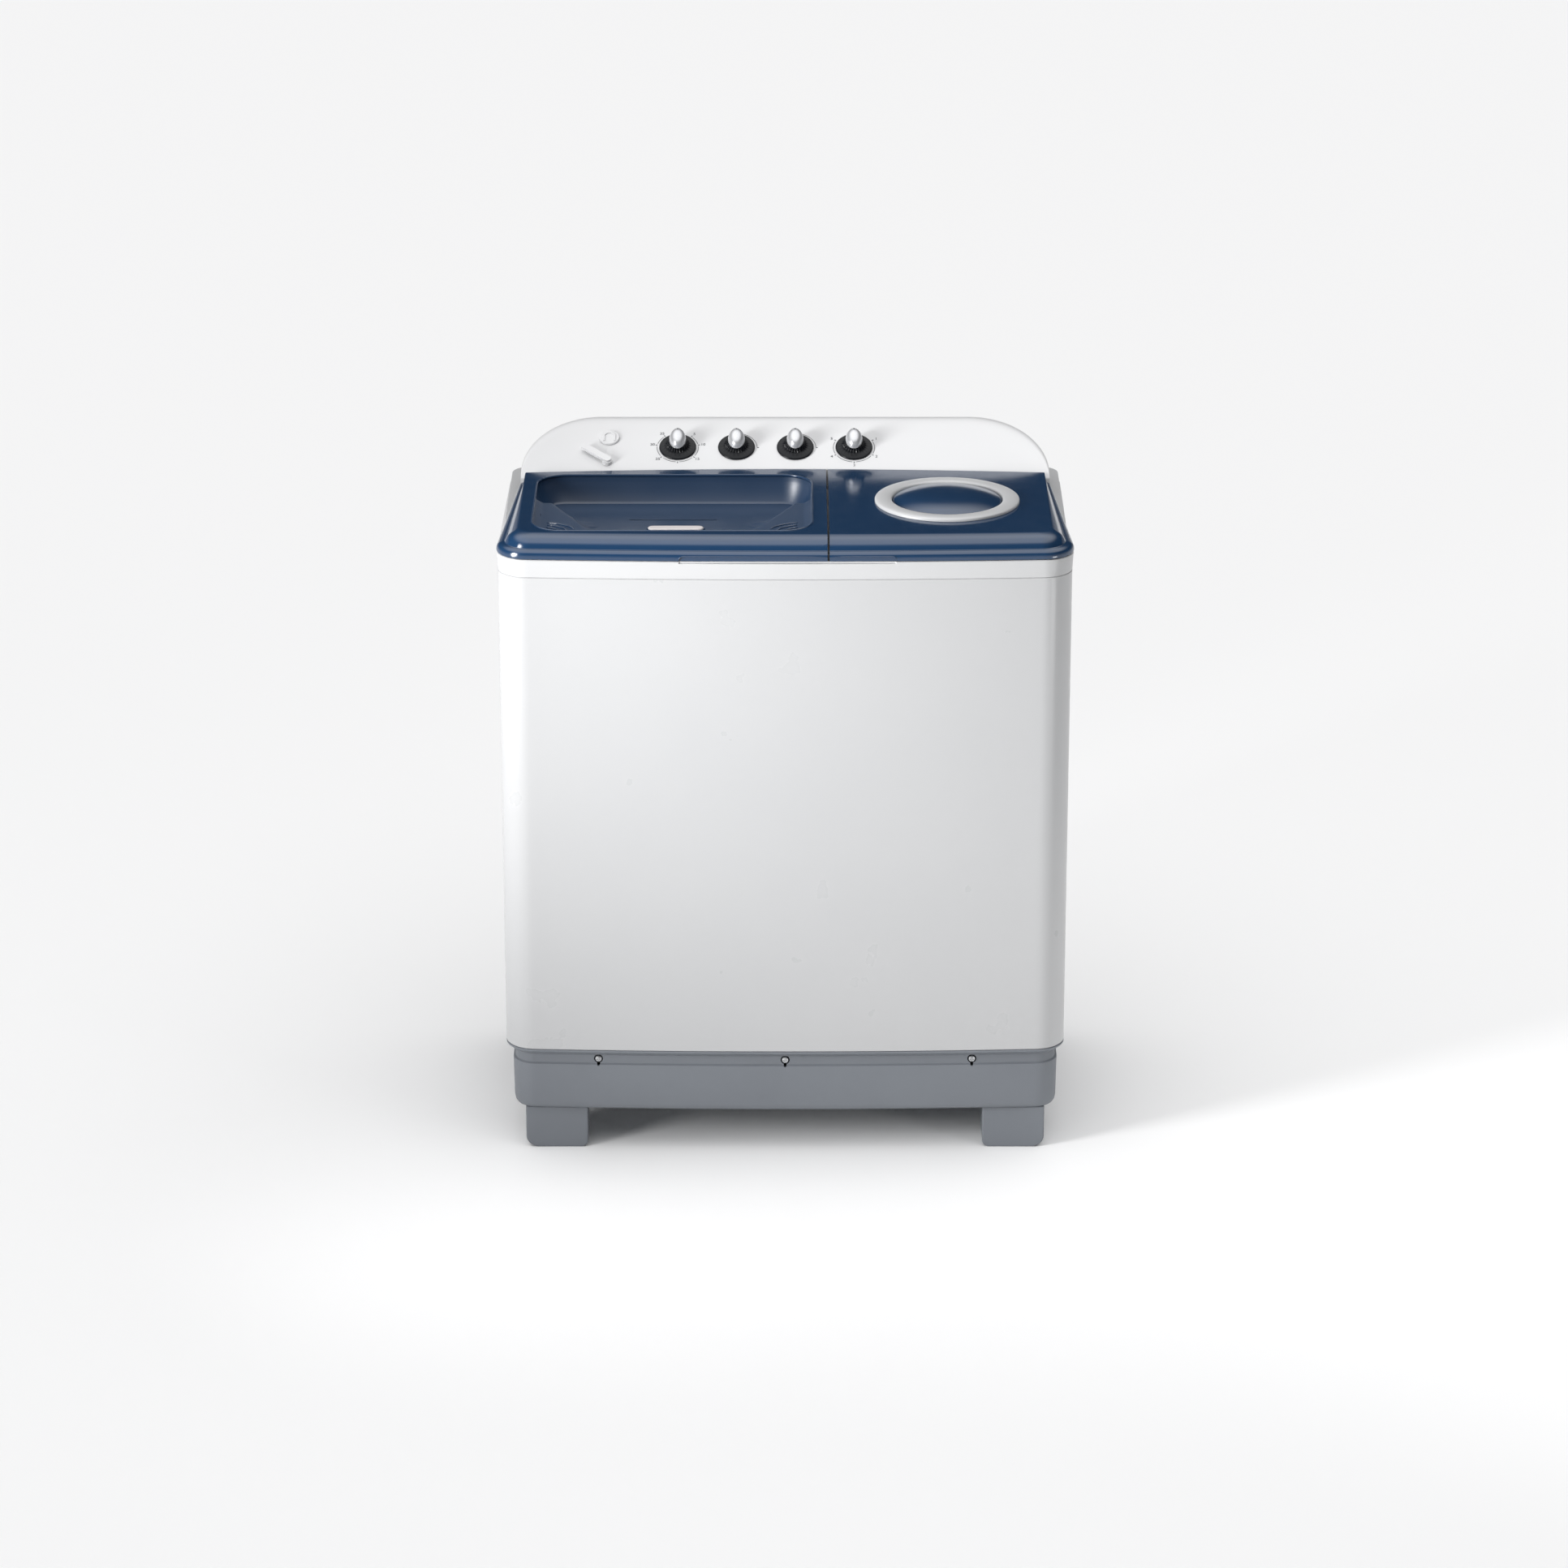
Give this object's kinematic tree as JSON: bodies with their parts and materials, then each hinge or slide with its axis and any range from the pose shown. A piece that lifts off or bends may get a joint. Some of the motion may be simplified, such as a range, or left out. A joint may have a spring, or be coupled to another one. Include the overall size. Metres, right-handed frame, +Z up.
{
  "type": "twin tub washer",
  "caption": "Free-standing twin tub washer: white cabinet on a grey base, two hinged navy lids, wash tub with pulsator, spin basket, and a sloped panel with knobs and a lever.",
  "frame": {"origin": "on the floor under the middle of the machine's bounding box", "axes": "+Z up, -Y towards the front where the user stands, +X to the user's right"},
  "size_m": [0.83, 0.5, 1.0002],
  "materials": {
    "white_steel": "satin white paint",
    "white_plastic": "fine satin white moulding",
    "navy_plastic": "high gloss dark navy",
    "grey_plastic": "fine textured grey moulding",
    "dial_plastic": "satin dark navy",
    "silver_plastic": "silver painted",
    "tub_plastic": "natural white moulding",
    "bare_steel": "brushed stainless",
    "zinc_steel": "zinc plated",
    "black_rubber": "matt black",
    "beige_plastic": "pale beige"
  },
  "bodies": {
    "cabinet_body": {"cabinet": "white_steel", "base": "grey_plastic", "foot_front_left": "grey_plastic", "foot_front_right": "grey_plastic", "foot_rear_left": "grey_plastic", "foot_rear_right": "grey_plastic", "base_screw_1": "zinc_steel", "base_screw_2": "zinc_steel", "base_screw_3": "zinc_steel", "rear_cover": "zinc_steel", "cord_gland": "black_rubber", "top_frame": "white_plastic", "control_panel": "white_plastic", "wash_lid_hinge_rod": "zinc_steel", "spin_lid_hinge_rod": "zinc_steel", "wash_timer": "grey_plastic", "spin_timer": "grey_plastic", "wash_selector_switch": "grey_plastic", "drain_selector_cam": "grey_plastic", "water_inlet_cap": "white_plastic", "wash_tub": "tub_plastic", "lint_filter": "tub_plastic", "pulsator_bearing_housing": "zinc_steel", "motor_bracket": "zinc_steel", "wash_motor": "zinc_steel", "drive_belt": "black_rubber", "drain_valve": "tub_plastic", "drain_outlet": "grey_plastic", "spin_outer_tub": "tub_plastic", "spin_bearing": "black_rubber", "spin_motor": "zinc_steel", "motor_spring_1": "bare_steel", "motor_spring_2": "bare_steel", "motor_spring_3": "bare_steel", "brake_bracket": "zinc_steel"},
    "wash_lid_body": {"wash_lid": "navy_plastic", "wash_tray": "navy_plastic", "tray_tab": "beige_plastic"},
    "spin_lid_body": {"spin_lid": "navy_plastic", "vent_ring": "white_plastic", "vent_cap": "navy_plastic"},
    "safety_cover_body": {"safety_cover": "tub_plastic"},
    "wash_timer_knob": {"wash_timer_dial": "dial_plastic", "wash_timer_pointer": "silver_plastic"},
    "wash_selector_knob": {"wash_selector_dial": "dial_plastic", "wash_selector_pointer": "silver_plastic"},
    "drain_selector_knob": {"drain_selector_dial": "dial_plastic", "drain_selector_pointer": "silver_plastic"},
    "spin_timer_knob": {"spin_timer_dial": "dial_plastic", "spin_timer_pointer": "silver_plastic"},
    "water_lever_body": {"water_selector_lever": "white_plastic"},
    "pulsator_body": {"pulsator": "tub_plastic", "pulsator_screw": "bare_steel", "pulsator_shaft": "bare_steel", "wash_pulley": "zinc_steel"},
    "motor_pulley_body": {"motor_pulley": "zinc_steel"},
    "spin_basket_body": {"spin_basket": "bare_steel", "brake_drum": "zinc_steel"},
    "brake_lever_body": {"brake_lever": "zinc_steel"},
    "drain_stem_body": {"drain_valve_stem": "black_rubber"}
  },
  "joints": [
    {"name": "wash_lid_hinge", "type": "hinge", "parent": "cabinet_body", "child": "wash_lid_body", "pos_m": [-0.16, 0.08, 0.947], "axis": [-1, 0, 0], "range_deg": [0, 80]},
    {"name": "spin_lid_hinge", "type": "hinge", "parent": "cabinet_body", "child": "spin_lid_body", "pos_m": [0.22, 0.08, 0.947], "axis": [-1, 0, 0], "range_deg": [0, 80]},
    {"name": "safety_cover_hinge", "type": "hinge", "parent": "cabinet_body", "child": "safety_cover_body", "pos_m": [0.236, 0.074, 0.924], "axis": [-1, 0, 0], "range_deg": [0, 72]},
    {"name": "wash_timer_turn", "type": "hinge", "parent": "cabinet_body", "child": "wash_timer_knob", "pos_m": [-0.16, 0.14995, 0.97333], "axis": [0, 0.4359, -0.9], "range_deg": [0, 300]},
    {"name": "wash_selector_turn", "type": "hinge", "parent": "cabinet_body", "child": "wash_selector_knob", "pos_m": [-0.0725, 0.14995, 0.97333], "axis": [0, 0.4359, -0.9], "range_deg": [0, 90]},
    {"name": "drain_selector_turn", "type": "hinge", "parent": "cabinet_body", "child": "drain_selector_knob", "pos_m": [0.015, 0.14995, 0.97333], "axis": [0, 0.4359, -0.9], "range_deg": [0, 90]},
    {"name": "spin_timer_turn", "type": "hinge", "parent": "cabinet_body", "child": "spin_timer_knob", "pos_m": [0.1025, 0.14995, 0.97333], "axis": [0, 0.4359, -0.9], "range_deg": [0, 300]},
    {"name": "water_lever_swing", "type": "hinge", "parent": "cabinet_body", "child": "water_lever_body", "pos_m": [-0.2645, 0.12115, 0.95939], "axis": [0, 0.4359, -0.9], "range_deg": [0, 100]},
    {"name": "pulsator_turn", "type": "hinge", "parent": "cabinet_body", "child": "pulsator_body", "pos_m": [-0.165, -0.026, 0.46], "axis": [0, 0, 1], "continuous": true},
    {"name": "motor_pulley_turn", "type": "hinge", "parent": "cabinet_body", "child": "motor_pulley_body", "pos_m": [-0.31, 0.1, 0.335], "axis": [0, 0, 1], "continuous": true},
    {"name": "spin_basket_turn", "type": "hinge", "parent": "cabinet_body", "child": "spin_basket_body", "pos_m": [0.236, -0.055, 0.52], "axis": [0, 0, 1], "continuous": true},
    {"name": "brake_lever_swing", "type": "hinge", "parent": "cabinet_body", "child": "brake_lever_body", "pos_m": [0.316, -0.025, 0.37], "axis": [0, 0, -1], "range_deg": [0, 7]},
    {"name": "drain_stem_lift", "type": "slide", "parent": "cabinet_body", "child": "drain_stem_body", "axis": [0, 0, 1], "range_m": [0, 0.009]}
  ],
  "couplings": [
    {"joint": "safety_cover_hinge", "follows": "spin_lid_hinge", "ratio": 0.9},
    {"joint": "brake_lever_swing", "follows": "spin_lid_hinge", "ratio": 0.0875},
    {"joint": "motor_pulley_turn", "follows": "pulsator_turn", "ratio": 4.9375},
    {"joint": "drain_stem_lift", "follows": "drain_selector_turn", "m_per_rad": 0.0057}
  ]
}
